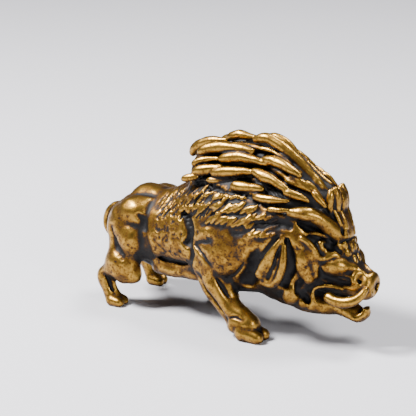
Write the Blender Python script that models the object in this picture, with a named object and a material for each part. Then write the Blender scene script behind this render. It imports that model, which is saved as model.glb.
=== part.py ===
"""A boar, cast solid in bronze: low head, open jaws, tusks, hanging ears, a mane of thick locks, striding legs.

The figure stands on its four hoofs. +X is forward, +Z is up, -Y is its right side. The origin lies on the
ground, under the middle of the figure.
"""
import bpy
import bmesh
import numpy as np
from mathutils import Matrix, Vector

# Driving size, in metres: from the snout to the back of the tail
FIGURE_LENGTH = 0.048

# The pose and the carving are shares of the length. The figure is 50 steps long.
STEPS_LONG = 50.0
STEP = FIGURE_LENGTH / STEPS_LONG

# Middle of the figure along X and Y, in steps from the hip and the middle line
MIDDLE_X = 19.53
MIDDLE_Y = -0.11

# Fineness of the surface, in steps, and the number of faces
BODY_GRAIN = 0.34
CARVING_GRAIN = 0.27
FACES = 9400

NEAR = -1
FAR = 1


def clear_scene():
    for item in list(bpy.data.objects):
        bpy.data.objects.remove(item, do_unlink=True)


def to_side(points, side):
    """The points of a right-hand form, kept or mirrored to the left."""
    return [(x, side * y, z) for x, y, z in points]


def smooth_path(points, radii, steps=4):
    """Points and radii on the smooth curve that passes through the given ones."""
    q = np.array([tuple(p) + (r,) for p, r in zip(points, radii)], float)
    if len(q) < 3:
        t = np.linspace(0, 1, steps + 1)[:, None]
        out = q[0] + t * (q[1] - q[0])
        return out[:, :3], out[:, 3]
    e = np.concatenate([[2 * q[0] - q[1]], q, [2 * q[-1] - q[-2]]])
    out = []
    for i in range(1, len(e) - 2):
        a, b, c, d = e[i - 1], e[i], e[i + 1], e[i + 2]
        for s in np.arange(steps) / steps:
            bend = (2 * a - 5 * b + 4 * c - d) * s ** 2
            turn = (3 * b - a - 3 * c + d) * s ** 3
            out.append(0.5 * (2 * b + (c - a) * s + bend + turn))
    out.append(e[-2])
    out = np.array(out)
    return out[:, :3], np.maximum(out[:, 3], 0.05)


def limb(bm, points, radii, squash=(1, 1, 1), steps=4, sides=16):
    """A rounded limb: rings of vertices along a smooth path, closed by a round end at each side."""
    path, radius = smooth_path(points, radii, steps)
    path = path / np.array(squash)
    ahead = np.gradient(path, axis=0)
    ahead /= np.linalg.norm(ahead, axis=1)[:, None]
    centres = []
    for k in (80, 60, 40, 20):
        a = np.radians(k)
        centres.append((path[0] - ahead[0] * radius[0] * np.sin(a), ahead[0], radius[0] * np.cos(a)))
    centres += list(zip(path, ahead, radius))
    for k in (20, 40, 60, 80):
        a = np.radians(k)
        centres.append((path[-1] + ahead[-1] * radius[-1] * np.sin(a), ahead[-1], radius[-1] * np.cos(a)))
    across = np.cross(ahead[0], (0.3, 0.1, 1.0))
    rings = []
    for centre, direction, r in centres:
        across = across - direction * (across @ direction)
        across /= np.linalg.norm(across)
        other = np.cross(direction, across)
        ring = []
        for k in range(sides):
            a = 2 * np.pi * k / sides
            spot = (centre + r * (np.cos(a) * across + np.sin(a) * other)) * np.array(squash)
            ring.append(bm.verts.new(Vector(spot) * STEP))
        rings.append(ring)
    for lower, upper in zip(rings[:-1], rings[1:]):
        for k in range(sides):
            n = (k + 1) % sides
            bm.faces.new((lower[k], lower[n], upper[n], upper[k]))
    bm.faces.new(rings[0][::-1])
    bm.faces.new(rings[-1])


def lump(bm, centre, radii, lean=(1, 0, 0)):
    """An egg-shaped lump with half sizes along its own axes. Its first axis points along lean."""
    a = Vector(lean).normalized()
    b = (Vector((0, 1, 0)) - a * a.y).normalized()
    c = a.cross(b)
    turn = Matrix((a, b, c)).transposed().to_4x4()
    place = Matrix.Translation(Vector(centre) * STEP)
    size = Matrix.Diagonal((radii[0] * STEP, radii[1] * STEP, radii[2] * STEP, 1.0))
    bmesh.ops.create_uvsphere(bm, u_segments=28, v_segments=18, radius=1.0, matrix=place @ turn @ size)


def hoof(bm, heel, ahead, radius, length):
    """Two toes side by side."""
    h = np.array(heel, float)
    a = np.array(ahead, float)
    a /= np.linalg.norm(a)
    across = np.cross(a, (0, 0, 1))
    across /= np.linalg.norm(across)
    for t in (-1, 1):
        start = h + t * across * radius * 0.42
        end = start + a * length + t * across * radius * 0.1
        limb(bm, [start, end], [radius * 0.82, radius * 0.58])


# Trunk

def trunk(bm):
    barrel = [(1.0, 0, 11.9), (5, 0, 12.2), (10, 0, 12.3), (16, 0, 13.2), (22, 0, 14.0), (28, 0, 13.6)]
    limb(bm, barrel, [4.4, 5.9, 7.0, 7.7, 8.2, 7.4], squash=(1, 0.98, 1), steps=6, sides=32)
    withers = [(12.0, 0, 15.5), (17, 0, 17.8), (23, 0, 18.8), (29.0, 0, 18.2), (32.0, 0, 16.5)]
    limb(bm, withers, [3.8, 5.2, 5.9, 5.8, 4.8], squash=(1, 1.08, 1), steps=6, sides=32)
    chest = [(21, 0, 10.8), (26, 0, 11.4), (30, 0, 10.6)]
    limb(bm, chest, [5.4, 5.0, 4.8], squash=(1, 1.1, 1), sides=32)
    sacrum = [(0.5, 0, 15.3), (2.5, 0, 16.9), (4.6, 0, 17.4), (6.4, 0, 17.0)]
    limb(bm, sacrum, [1.6, 1.8, 1.7, 1.3], squash=(1, 1.35, 1), sides=24)
    croup = [(3.0, 0, 13.8), (-0.2, 0, 12.8), (-1.7, 0, 11.8)]
    limb(bm, croup, [3.0, 2.8, 2.0], squash=(1, 1.3, 1), sides=24)


def mane_half_width(x, z):
    """The mane is a wedge. It narrows up to the crest, and forward to the crown."""
    width = np.clip(6.7 - 0.55 * (z - 20.4), 0.3, 6.6)
    return width * np.clip(1 - 0.075 * (x - 31.0), 0.3, 1.0)


def mane_top(x):
    """Height of the ridge under the crest locks: it climbs to the withers and falls to the crown."""
    along = [12.4, 13.2, 16.0, 19.0, 22.0, 25.0, 27.0, 29.0, 31.5, 34.0, 36.4, 37.4]
    height = [23.8, 25.6, 27.1, 28.1, 28.7, 29.2, 28.8, 27.9, 26.1, 24.3, 23.3, 22.4]
    return float(np.interp(x, along, height))


def mane_ridge(bm):
    """The ridge: one outline for each place along X, all joined to each other. Both ends are round."""
    rings = []
    for x in np.linspace(12.4, 37.4, 36):
        top = mane_top(x)
        levels = np.linspace(15.0, top, 10)
        round_end = np.sqrt(np.clip(1.05 - ((14.6 - min(x, 14.6)) / 2.2) ** 2, 0.05, 1))
        half = [max(round_end * (float(mane_half_width(x, z)) - 0.9), 0.8 * round_end) for z in levels]
        right = [(x, -w, z) for w, z in zip(half, levels)]
        left = [(x, w, z) for w, z in zip(half[::-1], levels[::-1])]
        rings.append([bm.verts.new(Vector(p) * STEP) for p in right + left])
    count = len(rings[0])
    for back, front in zip(rings[:-1], rings[1:]):
        for k in range(count):
            n = (k + 1) % count
            bm.faces.new((back[k], back[n], front[n], front[k]))
    bm.faces.new(rings[0][::-1])
    bm.faces.new(rings[-1])


# Limbs

def haunch(bm, s):
    lump(bm, (2.2, s * 3.7, 12.9), (3.8, 3.2, 4.0))
    lump(bm, (3.7, s * 4.3, 15.3), (3.1, 2.3, 2.7), lean=(1, 0, 0.1))
    limb(bm, to_side([(3.2, 3.4, 16.9), (5.4, 3.5, 17.1)], s), [1.1, 0.95])
    limb(bm, to_side([(0.9, 4.4, 14.6), (0.6, 4.7, 12.0), (0.8, 5.0, 9.4)], s), [1.5, 1.45, 1.6])
    lump(bm, (3.7, s * 5.0, 11.7), (2.8, 2.5, 3.0), lean=(1, 0, -0.25))
    limb(bm, to_side([(3.8, 4.8, 11.4), (3.2, 4.8, 9.4)], s), [2.3, 2.0])
    lump(bm, (1.7, s * 5.4, 6.9), (3.1, 2.2, 3.0))
    limb(bm, to_side([(0.8, 5.4, 5.6), (3.6, 5.4, 5.5)], s), [1.6, 1.5])
    limb(bm, to_side([(0.4, 5.5, 6.0), (-1.4, 5.6, 4.9), (-1.5, 5.6, 3.9)], s), [1.6, 1.25, 1.2])
    shank = [(-1.3, 5.6, 4.4), (-0.7, 5.6, 2.6), (0.0, 5.6, 1.2)]
    limb(bm, to_side(shank, s), [1.3, 1.15, 1.2], squash=(1.15, 1, 1))


def shoulder(bm, s):
    lump(bm, (20.6, s * 4.4, 12.9), (5.2, 3.9, 4.9))
    lump(bm, (20.9, s * 6.45, 12.4), (4.4, 2.35, 3.3), lean=(1, 0, 0.22))
    lump(bm, (17.4, s * 6.0, 10.5), (1.9, 2.2, 2.2))
    lump(bm, (19.0, s * 6.5, 15.6), (2.2, 1.6, 1.5), lean=(1, 0, 0.3))
    limb(bm, to_side([(16.6, 6.0, 13.6), (18.2, 6.6, 15.2), (20.4, 6.7, 16.0)], s), [1.0, 1.35, 1.2])
    limb(bm, to_side([(20.8, 6.6, 15.9), (23.0, 6.5, 16.4), (25.4, 6.2, 16.8)], s), [1.2, 1.3, 1.2])
    lump(bm, (26.0, s * 5.0, 14.8), (2.9, 2.7, 3.6))
    limb(bm, to_side([(13.4, 5.2, 18.0), (15.2, 6.3, 16.4), (16.3, 6.7, 14.4)], s), [0.55, 0.6, 0.7])
    limb(bm, to_side([(7.8, 3.4, 7.5), (11.0, 4.2, 7.9), (15.5, 4.4, 8.1)], s), [1.6, 1.7, 1.5])


def right_foreleg(bm):
    """The right foreleg reaches forward."""
    path = [(19.4, -5.6, 9.8), (20.0, -5.9, 7.6), (21.4, -6.3, 5.6), (23.0, -6.6, 4.1), (24.9, -6.8, 3.0)]
    limb(bm, path + [(26.3, -6.8, 2.3)], [2.9, 2.7, 2.1, 1.8, 1.75, 1.6])
    tendon = [(17.7, -6.2, 8.4), (18.8, -6.4, 6.2), (20.6, -6.7, 4.4), (22.6, -6.8, 2.6)]
    limb(bm, tendon, [0.9, 0.85, 0.8, 0.8])
    lump(bm, (24.2, -6.8, 2.0), (1.9, 1.7, 1.6))


def left_foreleg(bm):
    """The left foreleg pushes back under the chest."""
    path = [(19.4, 5.0, 10.5), (17.8, 5.2, 7.4), (15.6, 5.0, 4.6), (13.8, 4.9, 2.6), (14.0, 4.9, 1.7)]
    limb(bm, path, [3.1, 2.4, 1.8, 1.5, 1.45])


def hoofs(bm):
    """Each hoof is two toes. The ground cuts their soles flat."""
    for s in (NEAR, FAR):
        hoof(bm, (0.1, s * 5.6, 0.76), (1.0, 0.0, -0.08), 1.28, 1.5)
    hoof(bm, (25.6, -6.8, 1.22), (1, 0, -0.18), 1.8, 2.5)
    hoof(bm, (14.2, 4.9, 0.85), (1, 0, -0.1), 1.45, 1.6)


# Head

def head(bm):
    skull = [(29.5, 0, 15.2), (32.5, 0, 14.8), (35.0, 0, 14.0)]
    limb(bm, skull, [7.0, 6.1, 4.9], squash=(1, 0.9, 1), sides=32)
    face = [(34.0, 0, 19.6), (35.4, 0, 17.0), (36.9, 0, 14.0), (39.0, 0, 11.4), (41.6, 0, 9.9)]
    limb(bm, face, [2.6, 3.0, 3.2, 2.6, 2.0], squash=(1, 1.05, 1), sides=24)
    muzzle = [(36.5, 0, 11.4), (40.0, 0, 9.9), (42.4, 0, 9.6)]
    limb(bm, muzzle, [3.6, 2.4, 1.9], squash=(1, 1.05, 1), sides=24)
    jaw = [(28.0, 0, 8.0), (32.0, 0, 6.9), (35.0, 0, 6.2), (38.0, 0, 5.8), (40.6, 0, 5.2)]
    limb(bm, jaw, [3.2, 2.9, 2.3, 1.6, 1.1], squash=(1, 1.4, 1), sides=24)
    lip = [(39.6, 0, 5.1), (41.2, 0, 4.7), (42.1, 0, 5.1), (42.4, 0, 5.9)]
    limb(bm, lip, [0.95, 0.95, 0.8, 0.55], squash=(1, 1.7, 1))
    forehead = [(36.9, 0, 21.2), (38.0, 0, 19.4), (38.7, 0, 17.6), (39.2, 0, 16.0)]
    limb(bm, forehead, [1.1, 1.0, 0.9, 0.7], squash=(1, 1.9, 1))


def head_side(bm, s):
    """Cheek plate in two folds, cheekbone and the two lumps of the jowl."""
    limb(bm, to_side([(33.9, 4.6, 16.2), (34.2, 4.8, 13.4), (34.9, 4.4, 10.9)], s), [1.2, 1.5, 1.1])
    limb(bm, to_side([(34.9, 4.4, 16.3), (35.6, 4.3, 14.2), (35.9, 3.7, 11.6)], s), [0.9, 1.15, 0.95])
    cheekbone = [(37.2, 3.0, 12.9), (38.6, 2.5, 12.9), (39.9, 1.6, 12.6), (41.0, 0.9, 12.0)]
    limb(bm, to_side(cheekbone, s), [1.1, 1.35, 1.0, 0.7])
    lump(bm, (32.0, s * 4.2, 7.9), (1.35, 1.3, 2.1), lean=(1, 0, -0.35))
    lump(bm, (33.5, s * 3.4, 6.2), (0.7, 0.6, 0.8))


def face_carving(bm, s):
    """Raised lines of the face: brow, lid, eyeball, rim of the eye, bridge, lip, nose wing and tusk."""
    full = 1.0 if s == NEAR else 0.82
    back = 0.0 if s == NEAR else 0.35
    brow = [(32.4, 5.65, 20.8), (34.2, 4.95, 20.9), (35.5, 4.05, 20.4), (36.6, 3.05, 19.4), (37.4, 2.15, 18.4)]
    brow = [(x - back, y, z) for x, y, z in brow + [(37.9, 1.65, 17.4), (37.9, 1.45, 16.4)]]
    limb(bm, to_side(brow, s), [r * full for r in (0.7, 1.02, 1.08, 1.14, 1.26, 1.1, 0.7)])
    limb(bm, to_side([(34.8, 4.2, 17.8), (35.6, 3.8, 17.7), (36.4, 3.3, 17.4), (37.2, 2.7, 17.0)], s),
         [0.3, 0.4, 0.4, 0.3])
    lump(bm, (36.5, s * 3.5, 16.2), (0.75, 0.7, 0.65))
    rim = [(34.3, 5.4, 17.2), (35.3, 5.2, 16.6), (36.2, 4.9, 15.5), (36.7, 4.6, 14.4), (37.3, 3.8, 14.1)]
    rim += [(38.1, 3.2, 14.5), (38.8, 2.6, 14.5), (39.2, 2.2, 14.0)]
    limb(bm, to_side(rim, s), [0.36, 0.44, 0.44, 0.44, 0.48, 0.52, 0.46, 0.38], steps=2)
    for x, y, z, size in ((39.1, 1.3, 15.9, 0.6), (39.6, 1.25, 14.8, 0.7), (40.6, 0.5, 13.8, 0.6)):
        lump(bm, (x, s * y, z), (size, size, size))
    curl = [(36.4, 3.8, 6.4), (35.6, 3.9, 7.3), (35.4, 3.9, 8.4), (36.0, 3.9, 9.3), (37.3, 3.7, 9.8)]
    limb(bm, to_side(curl + [(38.6, 3.4, 9.8), (39.8, 2.9, 9.5)], s), [0.34, 0.38, 0.38, 0.38, 0.4, 0.4, 0.34])
    wing = [(41.5, 2.1, 10.7), (41.4, 1.8, 11.4), (41.8, 1.1, 11.7), (42.4, 0.9, 11.4)]
    limb(bm, to_side(wing, s), [0.4, 0.6, 0.7, 0.55])
    if s == NEAR:
        tusk = [(38.2, 3.9, 8.2), (39.4, 4.1, 7.85), (41.0, 4.15, 7.95), (42.4, 3.7, 8.5), (43.1, 3.0, 9.2)]
        tusk.append((43.4, 2.4, 9.8))
    else:
        tusk = [(38.2, 3.9, 8.2), (39.3, 4.1, 7.9), (40.6, 3.9, 8.0), (41.7, 3.2, 8.5), (42.2, 2.6, 9.2)]
        tusk.append((42.4, 2.2, 9.7))
    limb(bm, to_side(tusk, s), [0.82, 0.86, 0.84, 0.76, 0.62, 0.45])


def ear(bm, s):
    """A long hanging flap: a thick fold behind and a rolled rim in front and below."""
    flap = [(31.5, 5.9, 17.6), (30.5, 6.3, 15.0), (29.6, 6.5, 12.6), (29.3, 6.2, 10.6)]
    limb(bm, to_side(flap, s), [0.6, 1.1, 1.7, 1.8], squash=(1, 0.7, 1))
    fold = [(31.4, 6.4, 17.2), (30.4, 6.9, 15.2), (29.2, 7.2, 12.8), (28.3, 7.1, 11.0)]
    limb(bm, to_side(fold, s), [0.5, 0.75, 0.9, 0.8])
    rim = [(31.9, 6.4, 15.8), (32.0, 6.8, 13.2), (31.3, 6.9, 10.8), (30.0, 6.7, 9.5), (28.5, 6.8, 9.6)]
    limb(bm, to_side(rim, s), [0.45, 0.6, 0.64, 0.62, 0.52])


def snout(bm):
    lump(bm, (42.9, 0, 9.75), (1.15, 2.15, 2.25), lean=(1, 0, -0.2))


def tail(bm):
    path = [(-1.6, 0, 14.6), (-3.2, -0.2, 14.2), (-4.4, -0.5, 12.8), (-4.5, -0.8, 11.2), (-4.0, -0.9, 10.2)]
    limb(bm, path, [0.9, 0.8, 0.72, 0.65, 0.5])


# Mane: each lock runs from a blunt tip at the back to a thin root in front

def bend(tip, middle, root, steps=8):
    """Points on the even curve through three points."""
    a, b, c = (np.array(p, float) for p in (tip, middle, root))
    t = np.linspace(0, 1, steps)[:, None]
    control = 2 * b - 0.5 * (a + c)
    return (1 - t) ** 2 * a + 2 * t * (1 - t) * control + t ** 2 * c


def leaf(count, thick):
    """Radii of a lock: blunt tip, full middle, thin root."""
    t = np.linspace(0, 1, count)
    return thick * (0.66 + 1.24 * t ** 0.7 * (1 - t) - 0.16 * t)


def side_locks(bm, s):
    """Four rows of locks. Each is given by tip, middle and root as X and Z, and by half its thickness."""
    top_row = [((15.2, 26.8), (18.4, 27.9), (23.9, 28.1), 0.93)]
    second_row = [((14.5, 25.1), (16.2, 25.9), (18.9, 26.4), 0.58),
                  ((19.1, 26.4), (22.5, 27.0), (26.9, 26.8), 0.86)]
    third_row = [((13.4, 22.8), (14.4, 23.1), (15.6, 23.4), 0.6),
                 ((15.2, 24.1), (17.0, 24.7), (19.3, 25.3), 0.83),
                 ((18.5, 24.3), (21.5, 25.0), (24.9, 25.4), 0.88),
                 ((25.2, 25.5), (28.0, 24.9), (31.2, 23.9), 0.92)]
    low_row = [((22.3, 23.1), (24.2, 23.3), (27.2, 23.4), 0.85),
               ((26.4, 22.2), (28.9, 22.3), (31.8, 22.4), 0.68),
               ((29.3, 21.0), (31.0, 21.1), (32.8, 21.1), 0.5)]
    if s == NEAR:
        front = [((26.3, 27.3), (29.2, 27.1), (32.4, 26.0), 0.86),
                 ((31.2, 23.5), (32.7, 23.2), (34.5, 22.5), 0.7),
                 ((35.0, 23.7), (35.9, 22.9), (36.9, 21.9), 0.58)]
    else:
        front = [((25.4, 26.7), (27.0, 26.2), (28.6, 25.2), 0.8),
                 ((30.6, 22.4), (32.0, 22.1), (33.4, 21.4), 0.6)]
    for tip, middle, root, thick in top_row + second_row + third_row + low_row + front:
        curve = bend(tip, middle, root)
        out = [mane_half_width(x, z) - 0.05 for x, z in curve]
        path = [(x, s * float(y), z) for (x, z), y in zip(curve, out)]
        limb(bm, path, leaf(len(path), thick), steps=2, squash=(1, 0.95, 1), sides=12)


def crest_locks(bm):
    """Locks along the ridge, given by points from tip to root and by half the thickness."""
    rear = ([(11.7, 0, 25.4), (13.8, 0, 27.3), (18.0, 0, 28.3)], 0.85)
    middle = ([(18.2, 0.1, 28.7), (20.4, 0.1, 29.5), (23.4, 0.1, 29.4)], 0.75)
    right = ([(23.9, -1.2, 29.6), (25.7, -1.2, 30.1), (27.8, -1.1, 29.3), (30.1, -1.0, 28.0),
              (32.3, -0.9, 26.3), (34.4, -0.9, 24.6), (35.8, -0.9, 23.4)], 0.85)
    left = ([(24.2, 1.0, 29.9), (26.1, 1.0, 30.1), (28.2, 1.0, 29.4), (29.9, 1.0, 28.0)], 0.65)
    front = ([(29.6, 0.6, 27.2), (31.8, 0.4, 25.7), (34.1, 0.3, 23.8)], 0.68)
    for points, thick in (rear, middle, right, left, front):
        path = bend(*points) if len(points) == 3 else smooth_path(points, [1.0] * len(points), 2)[0]
        limb(bm, path, leaf(len(path), thick), steps=2, sides=12)


def forelock(bm, s):
    """Three strands on each side that hang from the crown over a low swelling."""
    limb(bm, to_side([(37.0, 1.0, 23.6), (37.2, 1.0, 22.4), (37.4, 1.0, 20.9)], s), [0.55, 0.8, 0.7])
    outer = [(37.0, 1.8, 23.8), (37.1, 2.1, 22.9), (37.1, 2.1, 21.8), (37.2, 2.0, 20.6)]
    limb(bm, to_side(outer, s), [0.42, 0.6, 0.58, 0.36])
    middle = [(37.3, 1.05, 24.0), (37.7, 1.15, 23.0), (37.9, 1.15, 21.8), (37.9, 1.1, 20.1)]
    limb(bm, to_side(middle, s), [0.42, 0.55, 0.52, 0.36])
    inner = [(37.3, 0.1, 23.7), (37.9, 0.25, 22.9), (38.15, 0.3, 21.8), (38.0, 0.3, 20.0)]
    limb(bm, to_side(inner, s), [0.4, 0.5, 0.5, 0.36])


# Hollows

def body_hollows(bm, s):
    """Hollows of the body: flank, hip, seam of the haunch, pocket behind the shoulder, belly fold and neck."""
    flank = [(6.9, 6.9, 13.4), (7.4, 7.2, 11.6), (7.2, 6.6, 9.6), (6.2, 5.4, 7.4)]
    limb(bm, to_side(flank, s), [0.4, 0.75, 0.95, 1.0])
    hip = [(5.6, 6.0, 15.7), (6.2, 5.7, 14.9), (6.6, 6.1, 13.9)]
    limb(bm, to_side(hip, s), [0.4, 0.6, 0.5])
    seam = [(0.7, 6.8, 13.4), (0.7, 6.8, 11.8), (1.1, 6.7, 10.3), (2.2, 6.9, 9.4)]
    limb(bm, to_side(seam, s), [0.3, 0.45, 0.45, 0.35])
    pocket = [(13.9, 6.6, 17.7), (15.0, 7.1, 16.6), (15.7, 7.4, 15.2), (15.5, 7.5, 13.8)]
    limb(bm, to_side(pocket, s), [0.5, 0.9, 0.95, 0.6])
    fold = [(8.2, 6.0, 9.2), (10.1, 6.3, 9.1), (11.8, 6.5, 9.2), (13.8, 6.6, 9.4), (15.8, 7.1, 9.9)]
    limb(bm, to_side(fold, s), [0.3, 0.5, 0.55, 0.5, 0.4])
    neck = [(28.3, 8.0, 14.8), (27.4, 7.5, 12.9), (26.6, 6.9, 10.6), (25.2, 6.3, 8.4)]
    limb(bm, to_side(neck, s), [0.6, 1.4, 1.7, 1.5])


def head_hollows(bm, s):
    """Hollows of the head: behind the cheek, under the brow, at the eye, under the cheekbone and in the jaw."""
    behind_cheek = [(32.4, 6.3, 16.8), (32.7, 6.2, 14.4), (32.7, 5.8, 12.1), (31.4, 5.5, 9.4)]
    limb(bm, to_side(behind_cheek, s), [0.5, 0.75, 0.8, 0.8])
    under_brow = [(33.8, 5.1, 19.3), (35.3, 4.3, 18.8), (36.8, 3.4, 17.9), (38.0, 2.8, 16.7)]
    limb(bm, to_side(under_brow, s), [0.6, 1.0, 1.1, 0.8])
    limb(bm, to_side([(35.4, 5.1, 17.3), (36.6, 4.3, 16.5), (38.0, 3.2, 15.8)], s), [0.5, 0.8, 0.65])
    under_bone = [(36.9, 4.3, 12.6), (36.9, 3.8, 11.2), (38.3, 3.4, 10.8), (39.6, 3.0, 10.5), (40.6, 2.6, 10.4)]
    limb(bm, to_side(under_bone, s), [0.35, 0.7, 0.75, 0.65, 0.5])
    limb(bm, to_side([(33.9, 5.3, 10.2), (34.1, 4.8, 8.6), (34.6, 4.4, 7.0)], s), [0.5, 0.7, 0.6])
    lump(bm, (36.9, s * 4.3, 8.1), (1.7, 1.1, 1.3))


def mouth(bm):
    limb(bm, [(38.0, 0, 6.9), (41.0, 0, 6.75), (44.5, 0, 7.0)], [0.5, 0.55, 0.6], squash=(1, 4.0, 1))


# Building the figure

def as_object(name, bm, grain, smoothing):
    """An object from overlapping closed forms, skinned as one body and smoothed."""
    bmesh.ops.recalc_face_normals(bm, faces=bm.faces)
    mesh = bpy.data.meshes.new(name)
    bm.to_mesh(mesh)
    bm.free()
    item = bpy.data.objects.new(name, mesh)
    bpy.context.scene.collection.objects.link(item)
    skin_over(item, grain, smoothing)
    return item


def skin_over(item, grain, smoothing):
    skin = item.modifiers.new("skin", 'REMESH')
    skin.mode = 'VOXEL'
    skin.voxel_size = grain * STEP
    if smoothing:
        soft = item.modifiers.new("soft", 'SMOOTH')
        soft.factor = 0.5
        soft.iterations = smoothing
    settle(item)


def settle(item):
    """Keep the shape that the modifiers give and take the modifiers off."""
    graph = bpy.context.evaluated_depsgraph_get()
    result = bpy.data.meshes.new_from_object(item.evaluated_get(graph))
    item.modifiers.clear()
    item.data = result


def hide_guide(item):
    item.hide_render = True
    item.display_type = 'WIRE'


def bronze():
    """Antique bronze: polished high places over a dark brown patina."""
    material = bpy.data.materials.new("antique_bronze")
    material.use_nodes = True
    shader = material.node_tree.nodes["Principled BSDF"]
    shader.inputs["Base Color"].default_value = (0.42, 0.24, 0.07, 1.0)
    shader.inputs["Metallic"].default_value = 0.9
    shader.inputs["Roughness"].default_value = 0.36
    return material


def build_boar():
    masses = bmesh.new()
    trunk(masses)
    mane_ridge(masses)
    head(masses)
    right_foreleg(masses)
    left_foreleg(masses)
    for side in (NEAR, FAR):
        haunch(masses, side)
        shoulder(masses, side)
        head_side(masses, side)
    boar = as_object("boar", masses, BODY_GRAIN, 5)

    cuts = bmesh.new()
    mouth(cuts)
    for side in (NEAR, FAR):
        body_hollows(cuts, side)
        head_hollows(cuts, side)
    cutter = as_object("hollow_guide", cuts, CARVING_GRAIN, 0)
    hide_guide(cutter)
    carve = boar.modifiers.new("hollows", 'BOOLEAN')
    carve.operation = 'DIFFERENCE'
    carve.solver = 'EXACT'
    carve.object = cutter
    settle(boar)
    bpy.data.objects.remove(cutter, do_unlink=True)

    raised = bmesh.new()
    raised.from_mesh(boar.data)
    snout(raised)
    hoofs(raised)
    tail(raised)
    crest_locks(raised)
    for side in (NEAR, FAR):
        face_carving(raised, side)
        ear(raised, side)
        side_locks(raised, side)
        forelock(raised, side)
    whole = as_object("boar_whole", raised, CARVING_GRAIN, 1)
    bpy.data.objects.remove(boar, do_unlink=True)
    whole.name = "boar"

    place = Matrix.Translation(Vector((-MIDDLE_X, -MIDDLE_Y, 0)) * STEP)
    whole.data.transform(place)
    fewer = whole.modifiers.new("fewer", 'DECIMATE')
    triangles = sum(len(face.vertices) - 2 for face in whole.data.polygons)
    fewer.ratio = FACES / triangles
    settle(whole)

    slab = bmesh.new()
    deep = 4.0 * STEP
    size = Matrix.Diagonal((2.0 * FIGURE_LENGTH, FIGURE_LENGTH, deep, 1.0))
    bmesh.ops.create_cube(slab, size=1.0, matrix=Matrix.Translation((0, 0, -deep / 2)) @ size)
    mesh = bpy.data.meshes.new("ground_guide")
    slab.to_mesh(mesh)
    slab.free()
    ground = bpy.data.objects.new("ground_guide", mesh)
    bpy.context.scene.collection.objects.link(ground)
    hide_guide(ground)
    soles = whole.modifiers.new("soles", 'BOOLEAN')
    soles.operation = 'DIFFERENCE'
    soles.solver = 'EXACT'
    soles.object = ground
    settle(whole)

    whole.data.materials.clear()
    whole.data.materials.append(bronze())
    whole.data.shade_smooth()
    whole.data.set_sharp_from_angle(angle=np.radians(60))
    return whole


clear_scene()
build_boar()
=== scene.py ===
import math
import bpy
import numpy as np
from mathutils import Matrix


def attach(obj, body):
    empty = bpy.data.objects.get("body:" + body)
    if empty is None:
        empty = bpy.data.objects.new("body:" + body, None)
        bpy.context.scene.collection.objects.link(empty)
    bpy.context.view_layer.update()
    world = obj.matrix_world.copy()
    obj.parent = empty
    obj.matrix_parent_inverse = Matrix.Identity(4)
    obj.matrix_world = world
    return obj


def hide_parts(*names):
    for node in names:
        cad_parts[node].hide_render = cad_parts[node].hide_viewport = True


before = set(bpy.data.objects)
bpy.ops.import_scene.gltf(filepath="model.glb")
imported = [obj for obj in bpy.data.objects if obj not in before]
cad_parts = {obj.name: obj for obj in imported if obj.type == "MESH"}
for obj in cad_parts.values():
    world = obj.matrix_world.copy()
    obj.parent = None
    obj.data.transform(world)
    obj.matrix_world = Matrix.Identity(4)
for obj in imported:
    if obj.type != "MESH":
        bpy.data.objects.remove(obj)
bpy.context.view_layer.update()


# Camera
#
# The picture is taken from the boar's right, a little from the front and above, with a long lens, so the far
# legs show below the belly and the snout comes towards the right edge.

STEP = 0.00096            # a fiftieth of the figure's length of 48 mm, in metres
MIDDLE = (19.53, -0.11)   # the box's middle, in steps from the hip and the middle line


def place(points):
    """Metres from steps: the middle of the box moves to the origin and each step becomes its length."""
    points = np.array(points, float)
    return (points - np.array([MIDDLE[0], MIDDLE[1], 0.0])) * STEP


VIEW_TURN, VIEW_RISE = math.radians(32), math.radians(19)
VIEW_AWAY = 280                # steps from the camera to the point it aims at
PICTURE, PIXEL = 416, 0.156    # pixels across the picture, and steps that one pixel covers at the aim
FILM = 36
aim = place([18.25, 3.44, 12.0])
back = np.array([math.sin(VIEW_TURN) * math.cos(VIEW_RISE), -math.cos(VIEW_TURN) * math.cos(VIEW_RISE),
                 math.sin(VIEW_RISE)])
camera = bpy.data.objects.new("camera", bpy.data.cameras.new("camera"))
camera.location = aim + back * (VIEW_AWAY * STEP)
camera.rotation_euler = (math.pi / 2 - VIEW_RISE, 0, VIEW_TURN)
camera.data.sensor_width = FILM
camera.data.lens = FILM * (VIEW_AWAY / PIXEL) / PICTURE
camera.data.shift_x = -33 / PICTURE
camera.data.shift_y = 28 / PICTURE
camera.data.clip_start = 0.005
bpy.context.scene.collection.objects.link(camera)
bpy.context.scene.camera = camera


# Wax
#
# The boar is cast in one piece from a wax that was built up in lumps and rolls and then carved. The wax is a
# solid of distances on a fine grid: rolls and lumps are blended on, cuts are blended out.

FAR_OUT = 6.0        # distance that the empty grid starts with, in steps
CELL = 0.18          # spacing of the grid, in steps
NEAR, FAR = -1, 1    # sides along Y: the boar's right, which the picture shows, and its left


class Wax:
    """A grid that holds at each place the distance out of the wax, which is below zero inside it."""

    def __init__(self, low, high, cell):
        self.cell = cell
        self.axes = [np.arange(l, h + cell, cell, dtype=np.float32) for l, h in zip(low, high)]
        self.d = np.full([len(a) for a in self.axes], FAR_OUT, np.float32)

    def window(self, low, high):
        """The grid's part between two corners, and its coordinates."""
        cuts = []
        for axis, l, h in zip(self.axes, low, high):
            a = int(np.clip((l - axis[0]) / self.cell, 0, len(axis) - 2))
            b = int(np.clip((h - axis[0]) / self.cell + 2, a + 2, len(axis)))
            cuts.append(slice(a, b))
        X = self.axes[0][cuts[0]][:, None, None]
        Y = self.axes[1][cuts[1]][None, :, None]
        Z = self.axes[2][cuts[2]][None, None, :]
        return tuple(cuts), X, Y, Z


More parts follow.
